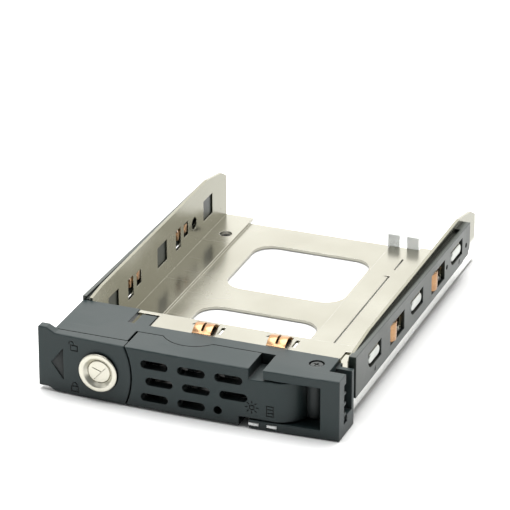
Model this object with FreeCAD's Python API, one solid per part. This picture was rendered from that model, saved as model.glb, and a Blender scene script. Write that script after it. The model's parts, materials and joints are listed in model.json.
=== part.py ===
import FreeCAD, Part
import math
import os

# Hot-swap carrier (caddy) for a 2.5-inch hard disk drive.
# A folded steel tray between two plastic guide rails, with a plastic bezel, a swinging
# handle lever, a sliding release plate with a key lock, contact springs and light pipes.
# Design frame: X across (0 midway between the side plates), Y from the bezel's front
# face (0) back along the tray, Z up from the surface that the carrier lies on (0).
# export() moves everything so that the origin is the bottom centre of the bounding box.

Vector = FreeCAD.Vector
X_AXIS = Vector(1, 0, 0)
Y_AXIS = Vector(0, 1, 0)
Z_AXIS = Vector(0, 0, 1)

# ---------------------------------------------------------------- driving dimensions, mm
drive_width = 69.85             # standard 2.5-inch drive
drive_hole_span_x = 61.72       # its bottom screw holes, across
drive_hole_span_y = 76.60       # and along
m3_clearance_radius = 1.7

sheet = 0.8                     # steel sheet thickness
plate_inner = drive_width / 2 + 0.575   # inner face of each side plate
plate_outer = plate_inner + sheet
seat_top = 2 * sheet            # side strips that the drive lies on
floor_top = sheet               # recessed floor between the strips
seat_width = 7.9                # left side strip, plate to step
shelf_left = 13.6               # step of the wide right-hand strip, which covers the light pipes
tray_front = 13.2               # where the tray's floor begins, behind the bezel
tray_rear = 112.4
plate_top = 17.5
rear_hole_y = 100.0             # rear pair of drive holes
front_hole_y = rear_hole_y - drive_hole_span_y

bezel_half = 38.2               # half the width of the bezel's body
bezel_height = 16.2
bezel_depth = 12.2
bow = 1.2                       # how far the bezel's front bulges at the middle
bow_radius = bezel_half ** 2 / (2 * bow) + bow / 2
wall = 1.4                      # plastic wall thickness
gap = 0.3                       # clearance between pieces that move past each other

lever_left = -17.9
lever_depth = 8.0
lever_upper_end = 15.0          # right end of the lever's full-height part
lever_lower_end = 12.5          # right end of the part that reaches the bottom
lever_arm_z = (2.6, 13.4)       # the part that passes under the bridge
bridge_left = 18.7
bridge_bottom = 13.7
sill_left = 15.1
sill_top = 2.3
pocket_right = 33.3
column_depth = 4.65
side_slot_rear = 9.0
pivot_x, pivot_y = 29.6, 7.5    # handle's hinge axis
pivot_radius = 1.0
hub_radius = 3.1
running = 0.05                  # radial clearance of a turning fit

slide_left = -41.6              # release plate, left edge of its grip lip
slide_depth = 2.3
slide_travel = 2.5
guide_finger_x = (-34.2, -31.4)  # two fingers on the release plate slide in ways in the bezel
guide_finger_zs = (2.9, 12.9)
grip_bottom, grip_top = 0.9, 17.4   # the lip is taller than the rest of the plate

spring_stop_x = -29.3           # the release spring pushes from this stop on the bezel
spring_finger_x = (-23.2, -22.2)  # to this finger on the release plate
spring_y, spring_z = 5.3, 2.65
roof_rear = 20.2                # rear edge of the roof behind the lock
roof_bottom = 15.0
lock_x, lock_z = -24.8, 7.9     # key lock axis
lock_ring_radius = 5.15
lock_barrel_radius = 3.9
lock_core_radius = 3.0
lock_dish_radius = 4.0          # mouth of the cone in the ring, and how deep the core's face lies
lock_dish_depth = 0.85
lock_rear = 9.6                 # rear end of the barrel

rail_outer = bezel_half
rail_wall = 1.0
rail_front, rail_rear = 11.9, 102.2
rail_bottom = 6.2
rail_top_front, rail_top_rear = 17.3, 15.3

window_pitch = 32.5             # repeat of the openings along each side
bore_extra = 1.0                # how far a cutting tool runs past what it cuts


# ---------------------------------------------------------------- helpers
def block(x, y, z):
    """Box from three (low, high) pairs."""
    return Part.makeBox(x[1] - x[0], y[1] - y[0], z[1] - z[0], Vector(x[0], y[0], z[0]))


def cylinder(radius, start, axis, length):
    return Part.makeCylinder(radius, length, start, axis)


def prism_z(points, z):
    """Upright prism from (x, y) corners between two heights."""
    corners = [Vector(px, py, z[0]) for px, py in points]
    face = Part.Face(Part.makePolygon(corners + corners[:1]))
    return face.extrude(Vector(0, 0, z[1] - z[0]))


def prism_x(points, x):
    """Prism along X from (y, z) corners."""
    corners = [Vector(x[0], py, pz) for py, pz in points]
    face = Part.Face(Part.makePolygon(corners + corners[:1]))
    return face.extrude(Vector(x[1] - x[0], 0, 0))


def prism_y(points, y):
    """Prism along Y from (x, z) corners."""
    corners = [Vector(px, y[0], pz) for px, pz in points]
    face = Part.Face(Part.makePolygon(corners + corners[:1]))
    return face.extrude(Vector(0, y[1] - y[0], 0))


def round_edges(shape, radius, wanted):
    """Fillet the straight edges whose end points both pass the wanted() test."""
    edges = []
    for edge in shape.Edges:
        if len(edge.Vertexes) == 2 and all(wanted(v.Point) for v in edge.Vertexes):
            edges.append(edge)
    return shape.makeFillet(radius, edges)


def cut_all(shape, tools):
    return shape.cut(Part.makeCompound(tools)) if tools else shape


def fuse_all(shapes):
    return shapes[0].multiFuse(shapes[1:]).removeSplitter()


def slot_y(x, z, width, height, y):
    """Round-ended slot through Y, long way along X."""
    half = (width - height) / 2
    tool = block((x - half, x + half), y, (z - height / 2, z + height / 2))
    ends = [cylinder(height / 2, Vector(x + s * half, y[0], z), Y_AXIS, y[1] - y[0]) for s in (-1, 1)]
    return fuse_all([tool] + ends)


def rounded_window(x, y, z, radius):
    """Cutter for a window in the floor, with rounded corners."""
    tool = block(x, y, z)
    return tool.makeFillet(radius, [e for e in tool.Edges if abs(e.tangentAt(e.FirstParameter).z) > 0.9])


def mirrored(shape):
    return shape.mirror(Vector(0, 0, 0), X_AXIS)


def bow_front(shape):
    """Trim the front of a piece to the bezel's gently bowed face."""
    height = 3 * bezel_height
    drum = cylinder(bow_radius, Vector(0, bow_radius - bow, -bezel_height), Z_AXIS, height)
    return shape.common(drum)


def bow_y(x):
    """Y of the bowed front face at x."""
    return bow_radius - bow - math.sqrt(bow_radius ** 2 - x ** 2)


def soften_front(shape, radius, skip_x=None):
    """Round the long edges of a piece's bowed front face, but not an upright edge at skip_x."""
    edges = []
    for edge in shape.Edges:
        on_front = all(abs(v.Point.y - bow_y(v.Point.x)) < 0.03 for v in edge.Vertexes)
        skipped = skip_x is not None and all(abs(v.Point.x - skip_x) < 0.03 for v in edge.Vertexes)
        if len(edge.Vertexes) == 2 and on_front and not skipped and edge.Length > 1.0:
            edges.append(edge)
    return shape.makeFillet(radius, edges)


def sheet_strip(points, thickness, z):
    """Thin upright strip that follows (x, y) points, with its thickness centred on them."""
    left, right = [], []
    for i, (px, py) in enumerate(points):
        ax, ay = points[max(i - 1, 0)]
        bx, by = points[min(i + 1, len(points) - 1)]
        length = math.hypot(bx - ax, by - ay)
        nx, ny = -(by - ay) / length, (bx - ax) / length
        left.append((px + nx * thickness / 2, py + ny * thickness / 2))
        right.append((px - nx * thickness / 2, py - ny * thickness / 2))
    return prism_z(left + right[::-1], z)


def sheet_strip_x(points, thickness, x):
    """Thin strip that follows (y, z) points, drawn out along X."""
    upper, lower = [], []
    for i, (py, pz) in enumerate(points):
        ay, az = points[max(i - 1, 0)]
        by, bz = points[min(i + 1, len(points) - 1)]
        length = math.hypot(by - ay, bz - az)
        ny, nz = -(bz - az) / length, (by - ay) / length
        upper.append((py + ny * thickness / 2, pz + nz * thickness / 2))
        lower.append((py - ny * thickness / 2, pz - nz * thickness / 2))
    return prism_x(upper + lower[::-1], x)


# ---------------------------------------------------------------- steel tray
boss_face = rail_outer - 0.55    # outer face of the bosses on the side plates
boss_gap = 0.6                  # from the edge of the rail's eye to the boss
# Openings in each side plate, from the front one: (front y, rear y, bottom z, top z).
plate_window = (30.4, 37.0, 6.3, 12.3)
spring_slot_front = (43.2, 46.7, 5.9, 11.8)
spring_slot_rear = (48.8, 51.9, 7.4, 11.4)

tab_front = 108.9               # front of the light pipes' upturned tabs

# Windows in the floor.
floor_window_x = (-20.5, 12.7)
front_window_y = (27.0, 58.6)
rear_window_y = (70.4, 99.2)
window_corner = 5.8


def side_plate():
    """Right side plate with its windows and spring slots."""
    outline = [
        (tray_front, sheet), (tray_rear, sheet), (tray_rear, 13.3), (tray_rear - 3.6, 15.4),
        (tray_rear - 14, plate_top), (27.4, plate_top), (tray_front + 1.2, plate_top - 1.2),
        (tray_front, plate_top - 2.4),
    ]
    plate = prism_x(outline, (plate_inner, plate_outer))
    tools = []
    through = (plate_inner - bore_extra, plate_outer + bore_extra)
    for i in range(3):
        shift = i * window_pitch
        y0, y1, z0, z1 = plate_window
        tools.append(block(through, (y0 + shift, y1 + shift), (z0, z1)))
        if i < 2:
            for y0, y1, z0, z1 in (spring_slot_front, spring_slot_rear):
                tools.append(block(through, (y0 + shift, y1 + shift), (z0, z1)))
    return cut_all(plate, tools)


def plate_bosses():
    """Flat bosses pressed out of the right side plate, which show through the rail's eyes."""
    bosses = []
    for i in range(3):
        shift = i * window_pitch
        y0, y1, z0, z1 = rail_eye
        drop = eye_drop(shift)
        boss_y = (y0 + boss_gap + shift, y1 - boss_gap + shift)
        boss_z = (z0 + boss_gap - drop, z1 - boss_gap - drop)
        boss = eye_block((plate_outer - 0.1, boss_face), boss_y, boss_z, eye_corner - boss_gap)
        outer_edges = [e for e in boss.Edges if e.BoundBox.XMin > boss_face - 0.01]
        bosses.append(boss.makeChamfer(0.45, outer_edges))
    return bosses


def shelf_slits():
    """Narrow slits in the right-hand strip, where small tongues clip the light pipes below it."""
    slit_x = (19.5, 20.0)
    z = (floor_top - bore_extra, seat_top + bore_extra)
    slits = [block(slit_x, (34.0, 90.4), z), block((18.3, slit_x[1]), (89.9, 90.4), z)]
    slits.append(block(slit_x, (94.7, 101.8), z))
    # notch in the rear edge for the pipes' tabs
    slits.append(block((12.8, 21.9), (tab_front - 0.1, tray_rear), (-bore_extra, seat_top + bore_extra)))
    return slits


def tray():
    """Floor with raised side strips, two windows and drive holes, and both side plates."""
    step_left = -(plate_inner - seat_width)
    floor_rear = tray_rear - 2.0
    pieces = [
        block((step_left - sheet, shelf_left + sheet), (tray_front, floor_rear), (0, floor_top)),
        block((-plate_outer, step_left), (tray_front, tray_rear), (sheet, seat_top)),
        block((step_left - sheet, step_left), (tray_front, floor_rear), (0, seat_top)),
        block((shelf_left, plate_outer), (tray_front, floor_rear), (sheet, seat_top)),
        block((plate_inner - seat_width, plate_outer), (tray_front, tray_rear), (sheet, seat_top)),
        block((shelf_left, shelf_left + sheet), (tray_front, floor_rear), (0, seat_top)),
    ]
    right = fuse_all([side_plate()] + plate_bosses())
    under_roof = block((-plate_outer - 1, -plate_inner + 1), (0, roof_rear + gap),
                       (roof_bottom - gap, 2 * plate_top))
    pieces += [right, mirrored(right).cut(under_roof)]
    body = fuse_all(pieces)

    below, above = -bore_extra, seat_top + bore_extra
    tools = shelf_slits() + [
        rounded_window(floor_window_x, rear_window_y, (below, above), window_corner),
        rounded_window(floor_window_x, front_window_y, (below, above), window_corner),
    ]
    for side in (-1, 1):
        for y in (front_hole_y, rear_hole_y):
            centre = Vector(side * drive_hole_span_x / 2, y, below)
            tools.append(cylinder(m3_clearance_radius, centre, Z_AXIS, above - below))
    # round hole near the rear of both side plates
    across = 2 * (plate_outer + bore_extra)
    tools.append(cylinder(1.75, Vector(-across / 2, 88.7, 8.7), X_AXIS, across))
    return cut_all(body, tools)


# ---------------------------------------------------------------- front shield
shield_z = (bezel_height - sheet - 0.1, bezel_height - 0.1)
shield_left, shield_right = -20.6, 33.9
shield_flange_left = -16.3
spring_xs = (-2.9, 16.8)        # middles of the two contact springs on the shield
spring_width = 4.9


def front_shield():
    """Bent sheet behind the bezel: an upright wall with vents and a top flange."""
    wall_y = (bezel_depth + 0.1, bezel_depth + 0.1 + sheet)
    flange_rear = 19.9
    upright_wall = block((shield_left, shield_right), wall_y, (seat_top, shield_z[1]))
    flange = block((shield_flange_left, shield_right), (wall_y[0], flange_rear), shield_z)
    flange = round_edges(flange, 1.5, lambda p: p.x < shield_flange_left + 0.1 and p.y < wall_y[0] + 0.1)
    strap = block((-22.2, shield_flange_left + 0.3), (flange_rear - 1.3, flange_rear), shield_z)
    ear = block((shield_right - 0.9, plate_inner), (16.4, flange_rear), shield_z)
    foot_x = (shield_left, 11.5)
    foot = block(foot_x, (wall_y[0], wall_y[1] + 6.0), (floor_top, seat_top))
    heel = block(foot_x, wall_y, (floor_top, seat_top + 0.1))
    body = fuse_all([upright_wall, flange, strap, ear, foot, heel])
    # the bezel's tongue passes through this corner
    tongue_way = block((shield_left - 1, shield_flange_left), (0, wall_y[1] + 0.5),
                       (roof_bottom - 0.2, shield_z[1] + 1))
    tools = [tongue_way]
    for x, z in bezel_screw_places:
        tools.append(cylinder(0.95, Vector(x, wall_y[0] - 1, z), Y_AXIS, 3))
    for x, z in vent_places():
        tools.append(slot_y(x, z, 5.0, 1.2, (wall_y[0] - 1, wall_y[1] + 1)))
    through = (shield_z[0] - 1, shield_z[1] + 1)
    for x in spring_xs:
        # a slot for the contact spring's hook, and two small openings beside it
        slot_x = (x - spring_width / 2 - 0.2, x + spring_width / 2 + 0.2)
        tools.append(block(slot_x, (18.0, 19.0), through))
        tools.append(block((slot_x[1] + 1.0, slot_x[1] + 2.0), (14.0, 18.0), through))
        notch = [(slot_x[0] - 1.6, 17.2), (slot_x[0] - 0.4, 17.2), (slot_x[0] - 0.7, 18.6)]
        tools.append(prism_z(notch, through))
    return cut_all(body, tools)


# ---------------------------------------------------------------- bezel
vent_pitch = 9.8
vent_rows = ((12.4, -9.8, 3), (7.9, -8.5, 3), (3.4, -9.8, 2))   # (z, first x, count)


def vent_places():
    """Centres (x, z) of the vent slots in the lever."""
    return [(first + i * vent_pitch, z) for z, first, count in vent_rows for i in range(count)]


def scoop(depth_extra):
    """Round tongue on top of the bezel that a finger notch in the lever fits round."""
    radius = 8.4
    centre_y = 5.1 + radius - depth_extra
    drum = cylinder(radius, Vector(-4.5, centre_y, 13.4 - depth_extra), Z_AXIS, 10)
    return drum.common(block((-20, 20), (0, lever_depth + 1), (0, bezel_height)))


def left_block():
    """Housing at the left of the bezel, which holds the lock and guides the release plate."""
    left = -bezel_half
    front = slide_depth + gap
    outer = block((left, lever_left - 0.5), (front, bezel_depth), (0, bezel_height))
    roof = block((left, -22.35), (bezel_depth - 1, roof_rear), (roof_bottom, bezel_height))
    cheek = block((left, left + 1.2), (bezel_depth - 1, roof_rear), (1.0, bezel_height))
    tongue = block((-20.6, -16.6), (bezel_depth - 1, 17.6), (roof_bottom, bezel_height))
    body = fuse_all([outer, roof, cheek, tongue])
    body = round_edges(body, 0.6, lambda p: p.z > bezel_height - 0.1 and p.x < left + 0.1)
    cavity = block((left + wall, lever_left - 0.5 - wall), (front + 1.2, bezel_depth + 1),
                   (wall, bezel_height - wall))
    reach = lock_barrel_radius + 0.4
    barrel_way = slot_y(lock_x - slide_travel / 2, lock_z, 2 * reach + slide_travel, 2 * reach,
                        (0, front + 2))
    guide_ways = []
    guide_way_x = (guide_finger_x[0] - slide_travel - gap, guide_finger_x[1] + 0.4)
    for z in guide_finger_zs:
        guide_ways.append(block(guide_way_x, (0, front + 2), (z - 1.3, z + 0.9)))
    finger_way = (spring_finger_x[0] - slide_travel - gap, spring_finger_x[1] + gap)
    guide_ways.append(block(finger_way, (0, front + 2), (spring_z - 0.9, spring_z + 0.9)))
    body = cut_all(body, [cavity, barrel_way] + guide_ways)
    spring_stop = block((spring_stop_x - 0.9, spring_stop_x), (front + 1, 7.0), (wall - 0.2, 3.3))
    return fuse_all([body, spring_stop])


def bezel():
    """Fixed front moulding: lock housing, rear wall, bridge over the lever, sill and column."""
    left = lever_left - 0.5
    rear_wall = block((left, pocket_right + 0.6), (lever_depth + gap, bezel_depth), (0, bezel_height))
    bridge = block((bridge_left, bezel_half), (-2, bezel_depth), (bridge_bottom, bezel_height))
    sill = block((sill_left, bezel_half), (-2, bezel_depth), (0, sill_top))
    column = block((pocket_right, bezel_half), (-2, column_depth), (0, bezel_height))
    toe = block((pocket_right, bezel_half), (0, side_slot_rear + 1.4), (0, 4.7))
    post = block((34.8, bezel_half), (side_slot_rear, side_slot_rear + 1.4), (0, 15.0))
    right_wall = block((pocket_right - 0.6, pocket_right + 0.6), (side_slot_rear + 1.6, bezel_depth),
                       (0, bezel_height))
    body = fuse_all([rear_wall, bridge, sill, column, toe, post, right_wall, scoop(0)])

    above = bezel_height + 1
    tools = [
        # corner above the side slot is open
        block((33.9, bezel_half + 1), (column_depth, side_slot_rear), (4.7, above)),
        block((33.9, bezel_half + 1), (side_slot_rear - 1, bezel_depth + 1), (15.0, above)),
        block((34.6, bezel_half + 1), (side_slot_rear + 1.4, bezel_depth + 1), (-1, above)),
        # room for the lever's hub
        cylinder(hub_radius + gap, Vector(pivot_x, pivot_y, sill_top), Z_AXIS, bridge_bottom - sill_top),
        block((19.0, pivot_x), (6, pivot_y + hub_radius + gap), (sill_top, bridge_bottom)),
        # pivot screw: shank through bridge and sill, head sunk in the bridge
        cylinder(pivot_radius + running, Vector(pivot_x, pivot_y, -1), Z_AXIS, above + 1),
        cylinder(1.95, Vector(pivot_x, pivot_y, bezel_height - 0.9), Z_AXIS, 2),
    ]
    for x, z in vent_places():
        tools.append(slot_y(x, z, 7.6, 2.6, (lever_depth - 1, bezel_depth + 1)))
    for x in pipe_front_xs:
        tools.append(block((x - 1.35, x + 1.35), (-3, bezel_depth + 1), (0.75, 1.65)))
    for z in (12.6, 9.9, 7.0, 4.1):
        notch_x = (bezel_half - 0.5, bezel_half + 1)
        tools.append(block(notch_x, (3.4, column_depth + 1), (z - 1.1, z + 1.1)))
    for x, z in bezel_screw_places:
        tools.append(cylinder(0.95, Vector(x, bezel_depth - 3.0, z), Y_AXIS, 4))
    body = soften_front(bow_front(cut_all(body, tools)), 0.25)
    return fuse_all([body, left_block()])


bezel_screw_places = ((-15.6, 5.6), (22.4, 5.6))


# ---------------------------------------------------------------- handle lever
seam_x, seam_radius = -16.2, 19.0       # round seam between the lever and the release plate


def seam_drum(extra):
    """Drum whose right side is the seam, grown by extra."""
    centre = Vector(seam_x - seam_radius, -5, lock_z + 0.1)
    return cylinder(seam_radius + extra, centre, Y_AXIS, 20)


def lever():
    """Swinging handle: a vented shell with an arm to its hub at the right."""
    z_top = bezel_height
    z_low = 0.3
    shell = block((lever_left, lever_upper_end), (-2, lever_depth), (z_low, z_top))
    under = block((lever_lower_end, lever_upper_end + 1), (-3, lever_depth + 1), (-1, lever_arm_z[0]))
    shell = shell.cut(under)
    hollow = block((lever_left + 3.3, 13.6), (1.7, lever_depth + 1), (4.0, z_top - 3.2))
    lower_hollow = block((lever_left + 3.3, 11.3), (1.7, lever_depth + 1), (z_low + 1.2, 4.1))
    nose_x, nose_radius = 21.2, 7.4
    arm = block((lever_upper_end - 3, nose_x), (-2, lever_depth), lever_arm_z)
    nose_y = bow_y(nose_x) + nose_radius
    arm_height = lever_arm_z[1] - lever_arm_z[0]
    nose = cylinder(nose_radius, Vector(nose_x, nose_y, lever_arm_z[0]), Z_AXIS, arm_height)
    nose = nose.common(block((nose_x - 0.2, 30), (-2, lever_depth), lever_arm_z))
    hub = cylinder(hub_radius, Vector(pivot_x, pivot_y, lever_arm_z[0]), Z_AXIS, arm_height)
    body = fuse_all([shell, arm, nose, hub])

    body = body.cut(seam_drum(gap)).cut(scoop(gap))
    body = soften_front(bow_front(body), 0.3, nose_x)
    tools = [
        hollow, lower_hollow,
        cylinder(pivot_radius + running, Vector(pivot_x, pivot_y, 0), Z_AXIS, 20),
        cylinder(2.2, Vector(pivot_x, pivot_y, lever_arm_z[1] - 0.4), Z_AXIS, 1),
        block((13.5, 19.5), (1.7, lever_depth + 1), (4.0, 12.0)),
    ]
    for x, z in vent_places():
        tools.append(slot_y(x, z, 7.3, 2.2, (-3, 3)))
    tools.append(cylinder(1.1, Vector(7.0, -3, 3.4), Y_AXIS, 6))
    tools += lamp_icon(15.9, 5.8) + disk_icon(20.6, 5.4)
    return cut_all(body, tools)


icon_depth = 0.25


def lamp_icon(x, z):
    """Engraved lamp: a small ring with short rays."""
    y = (bow_y(x) - 1, bow_y(x) + icon_depth)
    length = y[1] - y[0]
    start = Vector(x, y[0], z)
    ring = cylinder(0.75, start, Y_AXIS, length).cut(cylinder(0.45, start, Y_AXIS, length))
    tools = [ring]
    for i in range(8):
        ray = block((x + 1.05, x + 1.75), y, (z - 0.13, z + 0.13))
        ray.rotate(Vector(x, 0, z), Y_AXIS, 45 * i)
        tools.append(ray)
    return tools


def disk_icon(x, z):
    """Engraved drum, the usual sign for stored data."""
    y = (bow_y(x) - 1, bow_y(x) + icon_depth)
    outer = block((x - 1.0, x + 1.0), y, (z - 1.5, z + 1.5))
    inner = block((x - 0.72, x + 0.72), y, (z - 1.2, z + 1.2))
    bars = [block((x - 1.0, x + 1.0), y, (z + dz - 0.13, z + dz + 0.13)) for dz in (-0.5, 0.45)]
    return [outer.cut(inner)] + bars


# ---------------------------------------------------------------- release plate and lock
def padlock_icon(x, z, is_open):
    """Engraved padlock; an open one has its shackle swung aside."""
    y = (bow_y(x) - 1, bow_y(x) + icon_depth)
    length = y[1] - y[0]
    outer = block((x - 1.05, x + 1.05), y, (z - 1.4, z + 0.3))
    body = outer.cut(block((x - 0.78, x + 0.78), y, (z - 1.1, z + 0.0)))
    lean = 0.75 if is_open else 0.0
    ring = cylinder(0.75, Vector(x - lean, y[0], z + 0.55), Y_AXIS, length)
    ring = ring.cut(cylinder(0.48, Vector(x - lean, y[0], z + 0.55), Y_AXIS, length))
    shackle = ring.common(block((x - 4, x + 4), y, (z + 0.3, z + 3)))
    return [body, shackle]


def release_slide():
    """Face plate at the left with a grip lip, an arrow and two padlock signs."""
    plate = block((slide_left, -12), (-2, slide_depth), (0.1, bezel_height))
    lip_outline = [(slide_left, grip_bottom), (-38.0, grip_bottom), (-36.6, bezel_height - 0.1),
                   (-39.2, grip_top), (slide_left, grip_top)]
    lip = prism_y(lip_outline, (-2, slide_depth))
    body = fuse_all([plate, lip])
    keep = fuse_all([seam_drum(0), block((slide_left - 1, -30), (-5, 10), (-1, 20))])
    body = body.common(keep)
    corner_outline = [(-50, -5), (-36.9, -5), (-36.9, 0.0), (-38.9, grip_bottom), (-50, grip_bottom)]
    corner = prism_y(corner_outline, (-4, 8))
    body = bow_front(body.cut(corner))
    body = round_edges(body, 0.6, lambda p: p.x < slide_left + 0.1 and p.z > 3)
    body = soften_front(body, 0.3)
    fingers = []
    hook_y = slide_depth + gap + 1.4
    for z in guide_finger_zs:
        neck = block(guide_finger_x, (slide_depth - 0.2, hook_y), (z - 0.6, z + 0.6))
        barb = block(guide_finger_x, (hook_y, hook_y + 0.8), (z - 1.1, z + 0.6))
        fingers += [neck, barb]
    spring_finger = block(spring_finger_x, (slide_depth - 0.2, 6.2), (spring_z - 0.6, spring_z + 0.6))
    body = fuse_all([body, spring_finger] + fingers)

    arrow_y = (bow_y(-36.0) - 1, bow_y(-36.0) + icon_depth)
    arrow = prism_y([(-38.0, 8.1), (-34.6, 3.7), (-34.6, 12.5)], arrow_y)
    tools = [arrow]
    tools += padlock_icon(-31.5, 13.7, True) + padlock_icon(-31.5, 2.4, False)
    tools.append(cylinder(lock_barrel_radius + 0.02, Vector(lock_x, -5, lock_z), Y_AXIS, 12))
    tools.append(cylinder(lock_ring_radius + 0.05, Vector(lock_x, bow_y(lock_x) - 3, lock_z), Y_AXIS, 3))
    return cut_all(body, tools)


lock_face_y = bow_y(lock_x) - 0.9        # front of the lock's ring


def lock_housing():
    """Barrel with a raised ring; the core turns inside it."""
    face = Vector(lock_x, lock_face_y, lock_z)
    ring = cylinder(lock_ring_radius, face, Y_AXIS, bow_y(lock_x) - 0.02 - lock_face_y)
    ring = ring.makeChamfer(0.35, [e for e in ring.Edges if e.BoundBox.YMax < lock_face_y + 0.1])
    barrel = cylinder(lock_barrel_radius, face + Vector(0, 0.5, 0), Y_AXIS, lock_rear - lock_face_y - 0.5)
    bore = cylinder(lock_core_radius + running, Vector(lock_x, lock_face_y - 1, lock_z), Y_AXIS, 30)
    dish = Part.makeCone(lock_dish_radius, lock_core_radius + 0.2, lock_dish_depth, face, Y_AXIS)
    return fuse_all([ring, barrel]).cut(bore).cut(dish)


def lock_core():
    """Turning plug with a three-way key slot in its sunken face."""
    start = lock_face_y + lock_dish_depth
    plug = cylinder(lock_core_radius, Vector(lock_x, start, lock_z), Y_AXIS, lock_rear + 0.1 - start)
    tail = block((lock_x - 1.2, lock_x + 1.2), (lock_rear, lock_rear + 1.6), (lock_z - 1.2, lock_z + 1.2))
    body = fuse_all([plug, tail])
    middle_x, middle_z = lock_x + 0.7, lock_z + 0.1
    slots = []
    for length, angle in ((2.6, -159), (1.6, -47), (2.9, 131)):
        groove = block((middle_x - 0.1, middle_x + length), (start - 1, start + 0.5),
                       (middle_z - 0.1, middle_z + 0.1))
        groove.rotate(Vector(middle_x, 0, middle_z), Y_AXIS, angle)
        slots.append(groove)
    return cut_all(body, slots)


def lock_cam():
    """Flat tongue on the core's tail, which bars the release plate when the lock is turned."""
    y0 = lock_rear + 0.15
    disc = cylinder(2.6, Vector(lock_x, y0, lock_z), Y_AXIS, 0.9)
    tongue = block((lock_x - 1.5, lock_x + 1.5), (y0, y0 + 0.9), (lock_z, lock_z + 5.4))
    square = block((lock_x - 1.2, lock_x + 1.2), (y0 - 1, y0 + 2), (lock_z - 1.2, lock_z + 1.2))
    return fuse_all([disc, tongue]).cut(square)


def lock_clip():
    """Spring clip behind the release plate that holds the barrel in it."""
    y0 = slide_depth + 1.9 + gap
    ring = cylinder(4.5, Vector(lock_x, y0, lock_z), Y_AXIS, 0.6)
    ring = ring.cut(cylinder(lock_barrel_radius, Vector(lock_x, y0 - 1, lock_z), Y_AXIS, 3))
    return ring.cut(block((lock_x - 3.3, lock_x + 3.3), (y0 - 1, y0 + 2), (lock_z - 6, lock_z - 1)))


def coil_spring(radius, wire, length, turns, start, axis):
    """Helical spring as one swept solid."""
    pitch = length / turns
    helix = Part.makeHelix(pitch, length, radius)
    circle = Part.Circle(Vector(radius, 0, 0), Vector(0, 1, 0), wire / 2)
    profile = Part.Wire(circle.toShape())
    coil = Part.Wire(helix).makePipeShell([profile], True, True)
    coil.Placement = FreeCAD.Placement(start, FreeCAD.Rotation(Z_AXIS, axis))
    return coil


def release_spring():
    """Compression spring that pushes the release plate back to the right."""
    end_room = 0.35                 # half the wire and a little clearance, at each end
    start = Vector(spring_stop_x + end_room, spring_y, spring_z)
    length = spring_finger_x[0] - spring_stop_x - 2 * end_room
    return coil_spring(0.85, 0.3, length, 7, start, X_AXIS)


# ---------------------------------------------------------------- rails
rail_spring_window = (37.6, 48.4, 8.6, 14.0)     # opening for the side spring, y and z
rail_eye = (20.9, 30.7, 9.5, 14.1)               # opening that shows the plate's boss, y and z
eye_corner = 2.6


def eye_drop(shift):
    """How much lower an eye is, further back along the falling rail."""
    return 0.35 * shift * (rail_top_front - rail_top_rear) / (rail_rear - rail_front)


def eye_block(x, y, z, corner):
    """Block with its lower front corner rounded, which the eyes and the bosses share."""
    shape = block(x, y, z)
    for edge in shape.Edges:
        middle = edge.CenterOfMass
        if edge.BoundBox.XLength > 0.1 and middle.y < y[0] + 0.01 and middle.z < z[0] + 0.01:
            return shape.makeFillet(corner, [edge])


def rail_eye_tool(shift):
    """Cutter for an eye in the rail's wall, through which a boss of the side plate shows."""
    y0, y1, z0, z1 = rail_eye
    drop = eye_drop(shift)
    tool_x = (rail_outer - rail_wall - 0.2, rail_outer + 1)
    return eye_block(tool_x, (y0 + shift, y1 + shift), (z0 - drop, z1 - drop), eye_corner)


def right_rail():
    """Plastic guide rail: an outer wall held off the side plate by end blocks and ribs."""
    outline = [
        (rail_front, rail_bottom), (rail_rear - 6.0, rail_bottom), (rail_rear, rail_bottom + 1.6),
        (rail_rear, rail_top_rear), (rail_front, rail_top_front),
    ]
    wall_x = (rail_outer - rail_wall, rail_outer)
    body = prism_x(outline, (plate_outer, rail_outer))
    inner_lip = 1.2
    channel = [
        (rail_front + 2.4, rail_bottom + inner_lip), (rail_rear - 7.0, rail_bottom + inner_lip),
        (rail_rear - 5.6, rail_bottom + inner_lip + 0.6), (rail_rear - 5.6, rail_top_rear + 2),
        (rail_front + 2.4, rail_top_front + 2),
    ]
    body = body.cut(prism_x(channel, (plate_outer - 1, wall_x[0])))
    # web that closes the channel near its top
    web = [(rail_front + 1, rail_top_front - 0.7), (rail_rear - 1, rail_top_rear - 0.7),
           (rail_rear - 1, rail_top_rear - 1.5), (rail_front + 1, rail_top_front - 1.5)]
    extras = [prism_x(web, (plate_outer, wall_x[1] - 0.2))]
    # solid blocks behind the plate's windows, each with a peg in the window
    y0, y1, z0, z1 = plate_window
    for i in range(3):
        peg_y = (y0 + 0.1 + i * window_pitch, y1 - 0.1 + i * window_pitch)
        extras.append(block((plate_outer - 0.4, wall_x[1] - 0.2), peg_y, (z0 + 0.1, z1 - 0.1)))
        extras.append(block((plate_outer, wall_x[1] - 0.2), peg_y, (rail_bottom, z1 + 1.4)))
    body = fuse_all([body] + extras)
    tools = [rail_eye_tool(i * window_pitch) for i in range(3)]
    for i in range(2):
        shift = i * window_pitch
        y0, y1, z0, z1 = rail_spring_window
        window_z = (z0 - 0.4 * i, z1 - 0.4 * i)
        tools.append(block((plate_outer - 1, rail_outer + 1), (y0 + shift, y1 + shift), window_z))
    for y, z in rail_rivet_places:
        tools.append(cylinder(rivet_radius, Vector(plate_outer - 1, y, z), X_AXIS, 5))
    for y, z in rail_hole_places:
        tools.append(cylinder(0.7, Vector(wall_x[0] - 0.2, y, z), X_AXIS, 2))
    return cut_all(body, tools)


rivet_radius = 0.7
rail_rivet_places = ((26.0, 7.8), (93.0, 7.8))       # (y, z)
rail_hole_places = ((82.7, 10.7), (99.0, 10.0))      # small plain holes in the wall


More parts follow.
